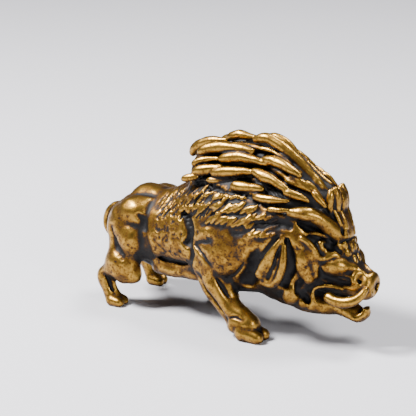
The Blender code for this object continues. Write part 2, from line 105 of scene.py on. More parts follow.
def blend(a, b, width):
    """The smaller of two distances. Where they differ by less than width, a parabola rounds the corner."""
    if width == 0:
        return np.minimum(a, b)
    h = np.maximum(width - np.abs(a - b), 0) / width
    return np.minimum(a, b) - h * h * width * 0.25


def smooth_path(points, radii, steps=4):
    """Catmull-Rom: each stretch is the cubic through its ends whose slopes join the neighbours."""
    q = np.concatenate([np.asarray(points, float), np.asarray(radii, float)[:, None]], 1)
    if len(q) < 3:
        return q[:, :3], q[:, 3]
    e = np.concatenate([[2 * q[0] - q[1]], q, [2 * q[-1] - q[-2]]])
    s = (np.arange(steps) / steps)[None, :, None]
    a, b, c, d = (e[i:len(e) - 3 + i, None, :] for i in range(4))
    out = 0.5 * (2 * b + (c - a) * s + (2 * a - 5 * b + 4 * c - d) * s ** 2
                 + (3 * b - a - 3 * c + d) * s ** 3)
    out = np.concatenate([out.reshape(-1, 4), q[-1:]])
    return out[:, :3], np.maximum(out[:, 3], 0.02)


def roll_distance(X, Y, Z, path, radii, squash):
    """Distance to the nearest point of a path, less the radius there. Squash flattens it along X, Y or Z."""
    P = path.astype(np.float32) / np.asarray(squash, np.float32)
    x, y, z = X / squash[0], Y / squash[1], Z / squash[2]
    best = None
    for a, b, ra, rb in zip(P[:-1], P[1:], radii[:-1], radii[1:]):
        ab = b - a
        n = float(ab @ ab) + 1e-9
        t = np.clip(((x - a[0]) * ab[0] + (y - a[1]) * ab[1] + (z - a[2]) * ab[2]) / n, 0, 1)
        r = np.sqrt((x - a[0] - t * ab[0]) ** 2 + (y - a[1] - t * ab[1]) ** 2 + (z - a[2] - t * ab[2]) ** 2)
        r -= ra + t * (rb - ra)
        best = r if best is None else np.minimum(best, r)
    return best * min(squash)


def roll(wax, points, radii, soft=0, squash=(1, 1, 1), steps=4, cut=False):
    """Blend a roll of wax onto the solid, or cut one out of it. Soft is the width of the rounded corner."""
    path, radii = smooth_path(points, radii, steps)
    reach = radii.max() * max(squash) + soft + 1.0
    part, X, Y, Z = wax.window(path.min(0) - reach, path.max(0) + reach)
    r = roll_distance(X, Y, Z, path, radii, squash)
    wax.d[part] = -blend(-wax.d[part], r, soft) if cut else blend(wax.d[part], r, soft)


def lump(wax, centre, radii, soft, lean=(1, 0, 0), cut=False):
    """An ellipsoid whose first axis points along lean. Its distance is k - 1 over the slope of k, where k is
    the distance from the centre in shares of the radii."""
    a = np.array(lean, float) / np.linalg.norm(lean)
    b = np.array([0.0, 1.0, 0.0]) - a * a[1]
    b /= np.linalg.norm(b)
    turn = np.array([a, b, np.cross(a, b)], np.float32)
    reach = max(radii) + soft + 1.0
    part, X, Y, Z = wax.window(np.array(centre) - reach, np.array(centre) + reach)
    x, y, z = X - centre[0], Y - centre[1], Z - centre[2]
    u = [(turn[i, 0] * x + turn[i, 1] * y + turn[i, 2] * z) / radii[i] for i in range(3)]
    k = np.sqrt(u[0] ** 2 + u[1] ** 2 + u[2] ** 2) + 1e-6
    slope = np.sqrt(sum((u[i] / radii[i]) ** 2 for i in range(3))) + 1e-6
    r = k * (k - 1) / slope
    wax.d[part] = -blend(-wax.d[part], r, soft) if cut else blend(wax.d[part], r, soft)


def to_side(points, side):
    """The points of a right-hand form, kept or mirrored to the left."""
    return np.array(points, float) * (1, side, 1)


def read_at(grid, points):
    """Value of a grid at points, weighted linearly between the eight nearest cells."""
    q = (points - np.array([axis[0] for axis in wax.axes])) / CELL
    q = np.clip(q, 0, np.array(grid.shape) - 1.001)
    i = q.astype(int)
    f = q - i
    out = np.zeros(len(points))
    for a in (0, 1):
        for b in (0, 1):
            for c in (0, 1):
                share = f[:, 0] if a else 1 - f[:, 0]
                share = share * (f[:, 1] if b else 1 - f[:, 1])
                share = share * (f[:, 2] if c else 1 - f[:, 2])
                out += share * grid[i[:, 0] + a, i[:, 1] + b, i[:, 2] + c]
    return out


def on_skin(points):
    """Points walked down the slope of the distance until they lie on the skin, and the way out there."""
    sides = 1.5 * CELL * np.eye(3)
    for _ in range(4):
        slope = np.stack([read_at(wax.d, points + side) - read_at(wax.d, points - side) for side in sides], 1)
        out = slope / (np.linalg.norm(slope, axis=1)[:, None] + 1e-9)
        points = points - out * np.clip(read_at(wax.d, points), -0.6, 0.6)[:, None]
    return points, out


def groove(points, side, radii, deep, soft=0.12):
    """A groove whose path is laid on the skin: its centre stands radius - deep outside it."""
    path, radii = smooth_path(to_side(points, side), np.asarray(radii, float) * np.ones(len(points)), 3)
    path, out = on_skin(path)
    roll(wax, path + out * (radii - deep)[:, None], radii, soft=soft, steps=1, cut=True)


def bead(points, side, radii, rise, soft=0.12):
    """A raised cord laid on the skin: its centre stands radius - rise inside it."""
    path, radii = smooth_path(to_side(points, side), np.asarray(radii, float) * np.ones(len(points)), 3)
    path, out = on_skin(path)
    roll(wax, path - out * (radii - rise)[:, None], radii, soft=soft, steps=1)


def evened(grid, radius):
    """Box averages along each axis, twice, by running sums."""
    n = max(int(round(radius / CELL)), 1)
    out = grid.astype(np.float32)
    for axis in range(3):
        for _ in range(2):
            pad = [(n + 1, n) if k == axis else (0, 0) for k in range(3)]
            total = np.cumsum(np.pad(out, pad, mode="edge"), axis=axis, dtype=np.float64)
            low, high = [slice(None)] * 3, [slice(None)] * 3
            low[axis], high[axis] = slice(0, -2 * n - 1), slice(2 * n + 1, None)
            out = ((total[tuple(high)] - total[tuple(low)]) / (2 * n + 1)).astype(np.float32)
    return out


wax = Wax((-8, -11, -1.5), (47, 11, 33), CELL)


# Trunk
#
# The body is one mass of bronze with the rest. In the wax it is a barrel, withers, a chest, a sacrum and a
# croup, rolled one over the other and smoothed together.

roll(wax, [(1.0, 0, 11.9), (5, 0, 12.2), (10, 0, 12.3), (16, 0, 13.2), (22, 0, 14.0), (28, 0, 13.6)],
     [4.4, 5.9, 7.0, 7.7, 8.2, 7.4], squash=(1, 0.98, 1), steps=6)
roll(wax, [(12.0, 0, 15.5), (17, 0, 17.8), (23, 0, 18.8), (29.0, 0, 18.2), (32.0, 0, 16.5)],
     [3.8, 5.2, 5.9, 5.8, 4.8], soft=3.0, squash=(1, 1.08, 1), steps=6)
roll(wax, [(21, 0, 10.8), (26, 0, 11.4), (30, 0, 10.6)], [5.4, 5.0, 4.8], soft=2.5, squash=(1, 1.1, 1))
roll(wax, [(0.5, 0, 15.3), (2.5, 0, 16.9), (4.6, 0, 17.4), (6.4, 0, 17.0)], [1.6, 1.8, 1.7, 1.3], soft=0.9,
     squash=(1, 1.35, 1))
roll(wax, [(3.0, 0, 13.8), (-0.2, 0, 12.8), (-1.7, 0, 11.8)], [3.0, 2.8, 2.0], soft=1.5, squash=(1, 1.3, 1))


# Mane ridge
#
# Under the locks the casting has a wedge that climbs to the withers and falls to the crown. It is narrower
# than the locks, so their edges stand free of it, and it is darkened there as painted shade under the locks,
# with patina that no cloth reaches.

def mane_half_width(x, z):
    """Half the mane's width: it falls with height, and forward of the ears it closes towards the crown."""
    width = np.clip(6.7 - 0.55 * (np.asarray(z) - 20.4), 0.3, 6.6)
    return width * np.clip(1 - 0.075 * (np.asarray(x) - 31.0), 0.3, 1.0)


def mane_ridge():
    """The largest of the distances out of the sloping sides, the ridge line, the bowed ends and the
    underside, with soft corners between them."""
    part, X, Y, Z = wax.window((11, -8, 15), (39, 8, 31))
    along = [12.4, 13.2, 16.0, 19.0, 22.0, 25.0, 27.0, 29.0, 31.5, 34.0, 36.4, 37.4]
    height = [24.2, 25.7, 27.2, 28.2, 28.8, 29.3, 28.9, 28.0, 26.2, 24.4, 23.4, 22.4]
    sides = (np.abs(Y) - (mane_half_width(X, Z) - 0.95)) * 0.87
    top = (Z - np.interp(X, along, height)) * 0.85
    rear = 12.9 + 0.045 * Y ** 2 - X
    front = X - 37.3 + 0.06 * Y ** 2
    under = 17.0 - Z
    r = sides
    for other in (top, rear, front, under):
        r = -blend(-r, -other, 1.2)
    wax.d[part] = blend(wax.d[part], r.astype(np.float32), 1.4)
    bare = np.full(wax.d.shape, FAR_OUT, np.float32)
    bare[part] = r
    return bare


ridge = mane_ridge()


# Haunches and hind legs
#
# Each haunch is a dome over a ball of muscle, both laid on the trunk as lumps. Below the stifle the hock
# bends back, and the hoof is two toes of wax pressed side by side.

def hoof(heel, ahead, radius, length):
    """Two toes side by side that taper forward. Each starts 0.42 of the radius to its side of the middle line
    and ends 0.52 of it out."""
    heel, ahead = np.array(heel, float), np.array(ahead, float)
    ahead /= np.linalg.norm(ahead)
    across = np.cross(ahead, (0, 0, 1))
    across /= np.linalg.norm(across)
    for t in (-1, 1):
        start = heel + t * across * radius * 0.42
        end = start + ahead * length + t * across * radius * 0.1
        roll(wax, [start, end], np.array([radius * 0.82, radius * 0.58]), soft=0.12)


for s in (NEAR, FAR):
    lump(wax, (2.2, s * 3.7, 12.9), (3.8, 3.2, 4.0), soft=0.9)
    lump(wax, (3.7, s * 4.3, 15.3), (3.1, 2.3, 2.7), soft=0.45, lean=(1, 0, 0.1))
    roll(wax, to_side([(3.2, 3.4, 16.9), (5.4, 3.5, 17.1)], s), [1.1, 0.95], soft=0.5)
    roll(wax, to_side([(0.9, 4.4, 14.6), (0.6, 4.7, 12.0), (0.8, 5.0, 9.4)], s), [1.5, 1.45, 1.6], soft=0.5)
    lump(wax, (3.7, s * 5.0, 11.7), (2.8, 2.5, 3.0), soft=0.2, lean=(1, 0, -0.25))
    roll(wax, to_side([(3.8, 4.8, 11.4), (3.2, 4.8, 9.4)], s), [2.3, 2.0], soft=0.5)
    lump(wax, (1.7, s * 5.4, 6.9), (3.1, 2.2, 3.0), soft=0.6)
    roll(wax, to_side([(0.8, 5.4, 5.6), (3.6, 5.4, 5.5)], s), [1.6, 1.5], soft=0.7)
    roll(wax, to_side([(0.4, 5.5, 6.0), (-1.4, 5.6, 4.9), (-1.5, 5.6, 3.9)], s), [1.6, 1.25, 1.2], soft=0.5)
    roll(wax, to_side([(-1.3, 5.6, 4.4), (-0.7, 5.6, 2.6), (0.0, 5.6, 1.2)], s), [1.3, 1.15, 1.2], soft=0.3,
         squash=(1.15, 1, 1))
    hoof((0.1, s * 5.6, 0.76), (1.0, 0.0, -0.08), 1.28, 1.5)
    roll(wax, to_side([(7.8, 3.4, 7.5), (11.0, 4.2, 7.9), (15.5, 4.4, 8.1)], s), [1.6, 1.7, 1.5], soft=0.35)


# Shoulders and forelegs
#
# The shoulder is a bossed pad of wax with folds above it. The right foreleg reaches forward and the left one
# pushes back under the chest.

for s in (NEAR, FAR):
    lump(wax, (20.6, s * 4.4, 12.9), (5.2, 3.9, 4.9), soft=1.2)
    lump(wax, (20.9, s * 6.45, 12.4), (4.4, 2.35, 3.3), soft=0.3, lean=(1, 0, 0.22))
    lump(wax, (17.4, s * 6.0, 10.5), (1.9, 2.2, 2.2), soft=0.3)
    lump(wax, (19.0, s * 6.5, 15.6), (2.2, 1.6, 1.5), soft=0.4, lean=(1, 0, 0.3))
    roll(wax, to_side([(16.6, 6.0, 13.6), (18.2, 6.6, 15.2), (20.4, 6.7, 16.0)], s), [1.0, 1.35, 1.2],
         soft=0.35)
    roll(wax, to_side([(20.8, 6.6, 15.9), (23.0, 6.5, 16.4), (25.4, 6.2, 16.8)], s), [1.2, 1.3, 1.2],
         soft=0.35)
    lump(wax, (26.0, s * 5.0, 14.8), (2.9, 2.7, 3.6), soft=0.8)
    roll(wax, to_side([(13.4, 5.2, 18.0), (15.2, 6.3, 16.4), (16.3, 6.7, 14.4)], s), [0.55, 0.6, 0.7],
         soft=0.4)

roll(wax, [(19.4, -5.6, 9.8), (20.0, -5.9, 7.6), (21.4, -6.3, 5.6), (23.0, -6.6, 4.1), (24.9, -6.8, 3.0),
           (26.3, -6.8, 2.3)], [2.9, 2.7, 2.1, 1.8, 1.75, 1.6], soft=0.8)
roll(wax, [(17.7, -6.2, 8.4), (18.8, -6.4, 6.2), (20.6, -6.7, 4.4), (22.6, -6.8, 2.6)], [0.9, 0.85, 0.8, 0.8],
     soft=0.25)
lump(wax, (24.2, -6.8, 2.0), (1.9, 1.7, 1.6), soft=0.5)
hoof((25.6, -6.8, 1.22), (1, 0, -0.18), 1.8, 2.5)
roll(wax, [(19.4, 5.0, 10.5), (17.8, 5.2, 7.4), (15.6, 5.0, 4.6), (13.8, 4.9, 2.6), (14.0, 4.9, 1.7)],
     [3.1, 2.4, 1.8, 1.5, 1.45], soft=1.0)
hoof((14.2, 4.9, 0.85), (1, 0, -0.1), 1.45, 1.6)


# Head
#
# A wedge of a skull with a narrow muzzle and a heavy lower jaw, smoothed together with the trunk. The lip,
# the cheek plate, the cheekbone and the lumps of the jowl are laid on after that, so they keep their edges.

roll(wax, [(29.5, 0, 15.2), (32.5, 0, 14.8), (35.0, 0, 14.0)], [7.0, 6.1, 4.9], soft=1.5, squash=(1, 0.9, 1))
roll(wax, [(34.0, 0, 19.6), (35.4, 0, 17.0), (36.9, 0, 14.0), (39.0, 0, 11.4), (41.6, 0, 9.9)],
     [2.6, 3.0, 3.2, 2.6, 2.0], soft=1.0, squash=(1, 1.05, 1))
roll(wax, [(36.5, 0, 11.4), (40.0, 0, 9.9), (42.4, 0, 9.6)], [3.6, 2.4, 1.9], soft=0.9, squash=(1, 1.05, 1))
roll(wax, [(28.0, 0, 8.0), (32.0, 0, 6.9), (35.0, 0, 6.2), (38.0, 0, 5.8), (40.6, 0, 5.2)],
     [3.2, 2.9, 2.3, 1.6, 1.1], soft=0.6, squash=(1, 1.4, 1))
roll(wax, [(36.9, 0, 21.2), (38.0, 0, 19.4), (38.7, 0, 17.6), (39.2, 0, 16.0)], [1.1, 1.0, 0.9, 0.7],
     soft=0.4, squash=(1, 1.9, 1))
wax.d = evened(wax.d, 0.18)
roll(wax, [(39.6, 0, 5.1), (41.2, 0, 4.7), (42.1, 0, 5.1), (42.4, 0, 5.9)], [0.95, 0.95, 0.8, 0.55], soft=0.3,
     squash=(1, 1.7, 1))

for s in (NEAR, FAR):
    roll(wax, to_side([(33.9, 4.6, 16.2), (34.2, 4.8, 13.4), (34.9, 4.4, 10.9)], s), [1.2, 1.5, 1.1],
         soft=0.35)
    roll(wax, to_side([(34.9, 4.4, 16.3), (35.6, 4.3, 14.2), (35.9, 3.7, 11.6)], s), [0.9, 1.15, 0.95],
         soft=0.35)
    roll(wax, to_side([(37.2, 3.0, 12.9), (38.6, 2.5, 12.9), (39.9, 1.6, 12.6), (41.0, 0.9, 12.0)], s),
         [1.2, 1.55, 1.1, 0.7], soft=0.3)
    lump(wax, (32.0, s * 4.2, 7.9), (1.35, 1.3, 2.1), soft=0.2, lean=(1, 0, -0.35))
    lump(wax, (33.5, s * 3.4, 6.2), (0.7, 0.6, 0.8), soft=0.2)


# Hollows
#
# Deep cuts made in the wax with a loop tool, where the patina stays black and the wider ones are darkened
# further as painted shade: flank, pocket behind the shoulder, neck, ear, brow, eye, cheek, jaw and mouth.

for s in (NEAR, FAR):
    roll(wax, to_side([(6.9, 6.9, 13.4), (7.4, 7.2, 11.6), (7.2, 6.6, 9.6), (6.2, 5.4, 7.4)], s),
         [0.4, 0.75, 0.95, 1.0], soft=0.5, cut=True)
    groove([(5.6, 6.0, 15.7), (6.2, 5.7, 14.9), (6.6, 6.1, 13.9)], s, [0.4, 0.6, 0.5], 0.35, soft=0.5)
    groove([(13.9, 6.5, 17.7), (15.0, 7.0, 16.6), (15.7, 7.3, 15.2), (15.5, 7.4, 13.8)], s,
           [0.5, 0.95, 1.0, 0.6], 0.95, soft=0.45)
    groove([(15.4, 7.4, 13.6), (16.2, 7.6, 12.4), (16.1, 7.6, 10.8)], s, [0.6, 0.5, 0.5], 0.45, soft=0.5)
    roll(wax, to_side([(28.3, 8.0, 14.8), (27.4, 7.5, 12.9), (26.6, 6.9, 10.6), (25.2, 6.3, 8.4)], s),
         [0.5, 1.1, 1.4, 1.4], soft=0.5, cut=True)
    groove([(32.4, 6.4, 16.8), (32.7, 6.3, 14.4), (32.7, 5.9, 12.1), (31.4, 5.6, 9.4)], s,
           [0.5, 0.75, 0.8, 0.8], 0.9, soft=0.3)
    groove([(27.4, 7.6, 18.3), (29.2, 7.2, 18.9), (31.0, 6.5, 19.2), (32.4, 5.9, 18.8)], s,
           [0.5, 0.8, 0.9, 0.6], 0.5, soft=0.5)
    groove([(33.8, 5.1, 19.3), (35.3, 4.3, 18.8), (36.8, 3.4, 17.9), (38.0, 2.8, 16.7)], s,
           [0.6, 1.0, 1.1, 0.8], 1.1, soft=0.3)
    groove([(35.4, 5.0, 17.3), (36.6, 4.2, 16.5), (38.0, 3.1, 15.8)], s, [0.5, 0.85, 0.7], 0.75, soft=0.3)
    groove([(36.9, 4.3, 12.6), (36.9, 3.8, 11.2), (38.3, 3.4, 10.8), (39.6, 3.0, 10.5), (40.6, 2.6, 10.4)], s,
           [0.3, 0.5, 0.55, 0.5, 0.4], 0.45, soft=0.4)
    groove([(33.9, 5.3, 10.2), (34.1, 4.8, 8.6), (34.6, 4.4, 7.0)], s, [0.5, 0.7, 0.6], 0.7, soft=0.3)
    lump(wax, (36.9, s * 4.3, 8.1), (1.7, 1.1, 1.3), soft=0.3, cut=True)
roll(wax, [(38.0, 0, 6.9), (41.0, 0, 6.75), (44.5, 0, 7.0)], [0.5, 0.55, 0.6], soft=0.3, squash=(1, 4.0, 1),
     cut=True)


# Face
#
# Rolls laid on the wax for the heavy brow, the eye's rims, the small folds of the forehead and bridge, the
# lip's curl and the tusk. The snout is a disc with a dished front and two nostrils pushed in.

bridge_knobs = [    # place (x, y, z) and radius
    (39.3, 1.5, 15.95, 0.5), (39.85, 1.45, 14.8, 0.62), (40.1, 0.45, 15.3, 0.45), (40.9, 0.6, 13.8, 0.5)]
forehead_folds = [
    [(37.6, 1.7, 21.0), (38.1, 1.5, 19.9), (38.5, 1.3, 18.9)],
    [(38.2, 0.8, 20.7), (38.6, 0.7, 19.5), (38.9, 0.6, 18.3)],
    [(36.4, 3.1, 21.3), (37.3, 2.4, 20.3)], [(39.0, 0.9, 18.0), (39.2, 0.9, 17.0)]]
for s in (NEAR, FAR):
    full, drawn_in = (1.0, 0.0) if s == NEAR else (0.82, 0.35)
    brow = to_side([(32.2, 5.2, 20.7), (34.2, 4.8, 20.9), (35.5, 3.9, 20.4), (36.6, 2.9, 19.4),
                    (37.4, 2.0, 18.4), (37.9, 1.5, 17.4), (37.9, 1.3, 16.4)], s)
    brow[:, 0] -= drawn_in
    brow[:, 1] += s * 0.15
    roll(wax, brow, np.array([0.7, 1.02, 1.08, 1.14, 1.26, 1.1, 0.7]) * full, soft=0.16)
    roll(wax, to_side([(34.8, 4.2, 17.8), (35.6, 3.8, 17.7), (36.4, 3.3, 17.4), (37.2, 2.7, 17.0)], s),
         [0.22, 0.32, 0.32, 0.22], soft=0.1)
    lump(wax, (36.5, s * 3.45, 16.2), (0.72, 0.65, 0.6), soft=0.08)
    roll(wax, to_side([(35.6, 4.4, 16.1), (36.5, 4.0, 15.6), (37.6, 3.2, 15.4)], s), [0.2, 0.28, 0.22],
         soft=0.1)
    roll(wax, to_side([(34.3, 5.4, 17.2), (35.3, 5.2, 16.6), (36.2, 4.9, 15.5), (36.7, 4.6, 14.4),
                       (37.3, 3.8, 14.1), (38.1, 3.2, 14.5), (38.8, 2.6, 14.5), (39.2, 2.2, 14.0)], s),
         [0.34, 0.42, 0.42, 0.42, 0.46, 0.5, 0.45, 0.35], soft=0.25)
    groove([(37.4, 3.6, 16.2), (38.6, 2.8, 15.6), (39.0, 2.3, 14.9)], s, [0.3, 0.36, 0.2], 0.36)
    groove([(38.3, 1.7, 17.9), (38.45, 1.5, 17.6)], s, [0.28, 0.28], 0.36, soft=0.2)
    for x, y, z, size in bridge_knobs:
        bead([(x - 0.15, y, z + 0.2), (x + 0.15, y, z - 0.2)], s, [size * 0.9, size], 0.32, soft=0.12)
    for points in forehead_folds:
        bead(points, s, [0.28] + [0.42] * (len(points) - 2) + [0.3], 0.26, soft=0.1)
    groove([(38.9, 2.2, 16.4), (39.4, 1.2, 16.5), (39.6, 0.0, 16.5)], s, [0.15, 0.24, 0.24], 0.22)
    roll(wax, to_side([(36.4, 3.8, 6.4), (35.6, 3.9, 7.3), (35.4, 3.9, 8.4), (36.0, 3.9, 9.3),
                       (37.3, 3.7, 9.8), (38.6, 3.4, 9.8), (39.8, 2.9, 9.5)], s),
         [0.2, 0.26, 0.27, 0.28, 0.3, 0.32, 0.28], soft=0.15)
    roll(wax, to_side([(36.9, 3.2, 7.0), (36.4, 3.25, 7.9), (36.8, 3.25, 8.8)], s), [0.3, 0.34, 0.3],
         soft=0.2)
    bead([(41.4, 2.2, 10.7), (41.3, 2.0, 11.5), (41.7, 1.2, 12.0), (42.4, 1.0, 11.7), (43.0, 1.4, 11.0)], s,
         [0.3, 0.5, 0.6, 0.5, 0.3], 0.34, soft=0.25)
    groove([(41.9, 2.0, 11.1), (42.3, 1.9, 10.7)], s, [0.25, 0.36], 0.5, soft=0.15)
    groove([(39.3, 3.1, 11.2), (39.9, 2.8, 11.2), (40.7, 2.4, 11.0)], s, [0.25, 0.32, 0.25], 0.3)
    if s == NEAR:
        tusk = [(38.2, 3.9, 8.2), (39.4, 4.1, 7.85), (41.0, 4.15, 7.95), (42.4, 3.7, 8.5), (43.1, 3.0, 9.2),
                (43.4, 2.4, 9.8)]
    else:
        tusk = [(38.2, 3.9, 8.2), (39.3, 4.1, 7.9), (40.6, 3.9, 8.0), (41.7, 3.2, 8.5), (42.2, 2.6, 9.2),
                (42.4, 2.2, 9.7)]
    roll(wax, to_side(tusk, s), [0.82, 0.86, 0.84, 0.76, 0.62, 0.42], soft=0.08)
lump(wax, (42.9, 0, 9.75), (1.15, 2.15, 2.25), soft=0.25, lean=(1, 0, -0.2))
lump(wax, (44.4, 0, 9.4), (0.8, 1.5, 1.5), soft=0.2, lean=(1, 0, -0.2), cut=True)
for s in (NEAR, FAR):
    lump(wax, (43.6, s * 0.78, 9.55), (0.9, 0.5, 0.68), soft=0.12, lean=(1, 0, -0.2), cut=True)


# Ears and tail
#
# The ears are long flaps of wax that hang beside the cheeks, with a thick fold behind and a rolled rim in
# front. The tail is a short roll that curls down from the croup.

for s in (NEAR, FAR):
    roll(wax, to_side([(31.5, 5.9, 17.6), (30.5, 6.3, 15.0), (29.6, 6.5, 12.6), (29.3, 6.2, 10.6)], s),
         [0.6, 1.1, 1.7, 1.8], soft=0.15, squash=(1, 0.7, 1))
    roll(wax, to_side([(31.4, 6.4, 17.2), (30.4, 6.9, 15.2), (29.2, 7.2, 12.8), (28.3, 7.1, 11.0)], s),
         [0.45, 0.75, 0.9, 0.8], soft=0.2)
    roll(wax, to_side([(31.9, 6.4, 15.8), (32.0, 6.8, 13.2), (31.3, 6.9, 10.8), (30.0, 6.7, 9.5),
                       (28.5, 6.8, 9.6)], s), [0.4, 0.58, 0.62, 0.6, 0.5], soft=0.15)
    groove([(31.2, 7.0, 15.0), (30.6, 7.1, 13.0), (30.0, 7.1, 11.6), (29.6, 7.0, 10.7)], s,
           [0.15, 0.26, 0.34, 0.4], 0.34, soft=0.2)
    groove([(30.9, 6.4, 17.0), (29.6, 7.0, 14.8), (27.9, 7.1, 12.6), (27.1, 6.9, 11.0)], s,
           [0.25, 0.4, 0.45, 0.4], 0.4, soft=0.3)
roll(wax, [(-1.6, 0, 14.6), (-3.2, -0.2, 14.2), (-4.4, -0.5, 12.8), (-4.5, -0.8, 11.2), (-4.0, -0.9, 10.2)],
     [0.9, 0.8, 0.72, 0.65, 0.5], soft=0.2)


# Carving
#
# Fine lines and pits cut into the wax with a loop tool: creases of the joints, strokes of the coat and pits
# of the flank. The tufts of neck and shoulder are thin cords laid on. All are given from the side and laid
# on whatever skin they meet.

def skin_side(x, z, side):
    """How far out the skin lies at each (x, z): between the first full cell met along Y from outside and the
    empty one before it, where the straight line through their distances is zero."""
    i = np.clip(((x - wax.axes[0][0]) / CELL).round().astype(int), 0, len(wax.axes[0]) - 1)
    k = np.clip(((z - wax.axes[2][0]) / CELL).round().astype(int), 0, len(wax.axes[2]) - 1)
    column = wax.d[i, :, k]
    y = wax.axes[1]
    if side > 0:
        column, y = column[:, ::-1], y[::-1]
    j = np.clip(np.argmax(column < 0, axis=1), 1, len(y) - 1)
    rows = np.arange(len(j))
    a, b = column[rows, j - 1], column[rows, j]
    return y[j - 1] + (y[j] - y[j - 1]) * np.clip(a / np.where(a - b == 0, 1, a - b), 0, 1)


creases = [    # path (x, y, z), radius and depth
    ([(0.6, 6.6, 13.3), (0.9, 6.7, 12.2), (1.6, 6.7, 10.8), (2.9, 6.7, 8.9)], 0.2, 0.2),
    ([(-0.9, 6.9, 4.8), (-0.3, 6.7, 4.2), (0.4, 6.5, 3.2), (0.9, 6.4, 2.4)], 0.36, 0.4),
    ([(8.2, 5.9, 9.2), (10.1, 6.2, 9.1), (11.8, 6.4, 9.2), (13.8, 6.5, 9.4), (15.8, 7.0, 9.9)], 0.5, 0.6),
    ([(17.2, 8.0, 14.0), (18.0, 8.0, 14.3), (19.1, 8.2, 14.5), (20.2, 8.2, 14.8)], 0.2, 0.2),
    ([(16.8, 7.8, 13.6), (18.0, 8.1, 13.0), (19.2, 8.3, 12.2), (20.2, 8.4, 11.3)], 0.2, 0.2),
    ([(21.8, 7.0, 8.9), (23.4, 7.2, 9.5), (24.8, 7.4, 10.8), (25.5, 7.6, 12.1)], 0.3, 0.3),
    ([(23.6, 7.8, 16.7), (24.8, 7.8, 16.8), (26.0, 7.6, 17.2)], 0.2, 0.16),
    ([(17.9, 8.0, 8.6), (19.2, 8.2, 6.8), (20.8, 8.2, 4.9), (22.5, 8.0, 2.9)], 0.38, 0.42),
    ([(20.9, 8.2, 9.4), (21.6, 7.9, 8.4), (22.4, 7.6, 7.2), (23.2, 7.4, 6.2)], 0.34, 0.36),
    ([(23.6, 8.3, 3.3), (24.6, 8.4, 3.6), (25.6, 8.2, 3.3)], 0.24, 0.2)]
for s in (NEAR, FAR):
    for points, radius, deep in creases:
        ends = np.array([0.35] + [1.0] * (len(points) - 2) + [0.3])
        valley = 0.6 if deep > 0.36 else 0.15    # the wide dip that a line lies in, as a share of its depth
        groove(points, s, radius * 2.6 * np.sqrt(ends), deep * valley, soft=0.8)
        groove(points, s, radius * ends, deep, soft=0.15)

dice = np.random.default_rng(7)


def uneven(spacing, height):
    """Smooth unevenness from chance: random heights spacing apart, joined by cosine steps along each axis."""
    out = dice.normal(0, 1, [int((axis[-1] - axis[0]) / spacing) + 3 for axis in wax.axes]).astype(np.float32)
    for n, axis in enumerate(wax.axes):
        q = (axis - axis[0]) / spacing
        i = q.astype(int)
        f = (0.5 - 0.5 * np.cos(np.pi * (q - i))).astype(np.float32)
        f = f.reshape([-1 if k == n else 1 for k in range(3)])
        out = np.take(out, i, axis=n) * (1 - f) + np.take(out, i + 1, axis=n) * f
    return out * height


def strokes(side, corner, wide, high, lean, turn, gap, long, radius, deep, lay):
    """Parallel strokes or tufts over a leaning field. Columns are gap apart and rows 0.75 of the length, and
    each stroke is shifted, turned and bowed by chance."""
    lean, turn = math.radians(lean), math.radians(turn)
    for row in np.arange(0, high, long * 0.75):
        for column in np.arange(0, wide, gap):
            shift = dice.uniform(-0.28, 0.28, 2)
            x = corner[0] + column * math.cos(turn) - row * math.sin(turn) + shift[0]
            z = corner[1] + column * math.sin(turn) + row * math.cos(turn) + shift[1]
            way = lean + dice.uniform(-0.14, 0.14)
            ux, uz = math.cos(way), math.sin(way)
            reach = long * dice.uniform(0.35, 0.65)
            bow = dice.uniform(-0.2, 0.2)
            flat = np.array([(x - ux * reach, z - uz * reach), (x + uz * bow, z - ux * bow),
                             (x + ux * reach, z + uz * reach)])
            skin_y = skin_side(flat[:, 0], flat[:, 1], side)
            points = np.stack([flat[:, 0], skin_y * side, flat[:, 1]], 1)
            lay(points, side, np.array([0.4, 1.0, 0.35]) * radius * dice.uniform(0.8, 1.2), deep, soft=0.1)


coat = [    # corner (x, z), width, height, lean and turn in degrees, gap, length, radius, depth, kind
    ((13.8, 17.4), 6.6, 5.4, 57, 18, 0.72, 2.3, 0.24, 0.26, groove),
    ((20.0, 18.2), 7.0, 4.2, 38, 6, 0.95, 2.3, 0.42, 0.36, bead),
    ((9.0, 16.6), 4.4, 4.2, 60, 14, 0.6, 1.5, 0.2, 0.16, groove),
    ((26.6, 17.2), 4.4, 3.2, 32, 0, 0.9, 1.5, 0.32, 0.26, bead),
    ((15.5, 22.0), 12.5, 5.5, 8, 2, 1.3, 2.4, 0.4, 0.36, groove),
    ((27.0, 21.6), 4.6, 3.4, -22, -6, 1.2, 2.0, 0.4, 0.36, groove)]
pits = [    # how many, low and high corner (x, z), radius and depth
    (150, (8.6, 10.4), (15.4, 18.0), 0.13, 0.12), (60, (16.5, 9.0), (27.0, 16.5), 0.15, 0.08),
    (30, (1.0, 5.5), (6.0, 13.0), 0.16, 0.08), (25, (33.2, 11.0), (35.5, 16.0), 0.15, 0.1)]
for s in (NEAR, FAR):
    for field in coat:
        strokes(s, *field)
    for count, low, high, size, deep in pits:
        spots = dice.uniform(low, high, (count, 2))
        skin_y = skin_side(spots[:, 0], spots[:, 1], s) * s
        for x, y, z in np.stack([spots[:, 0], skin_y, spots[:, 1]], 1):
            ex, ez = dice.uniform(-0.25, 0.25, 2)
            groove([(x, y, z), (x + ex, y, z + ez)], s, size * dice.uniform(0.7, 1.3), deep, soft=0.08)


# Locks of the mane
#
# Thick leaves of wax in four rows, each with a blunt tip behind and a thin root in front, and longer ones
# along the crest. Thin strands fill the gaps between them, and four short rolls hang over the forehead.

def parabola(tip, middle, root, count=9):
    """The quadratic curve whose control point puts it through the middle at half way."""
    a, b, c = (np.array(p, float) for p in (tip, middle, root))
    t = np.linspace(0, 1, count)[:, None]
    control = 2 * b - 0.5 * (a + c)
    return (1 - t) ** 2 * a + 2 * t * (1 - t) * control + t ** 2 * c


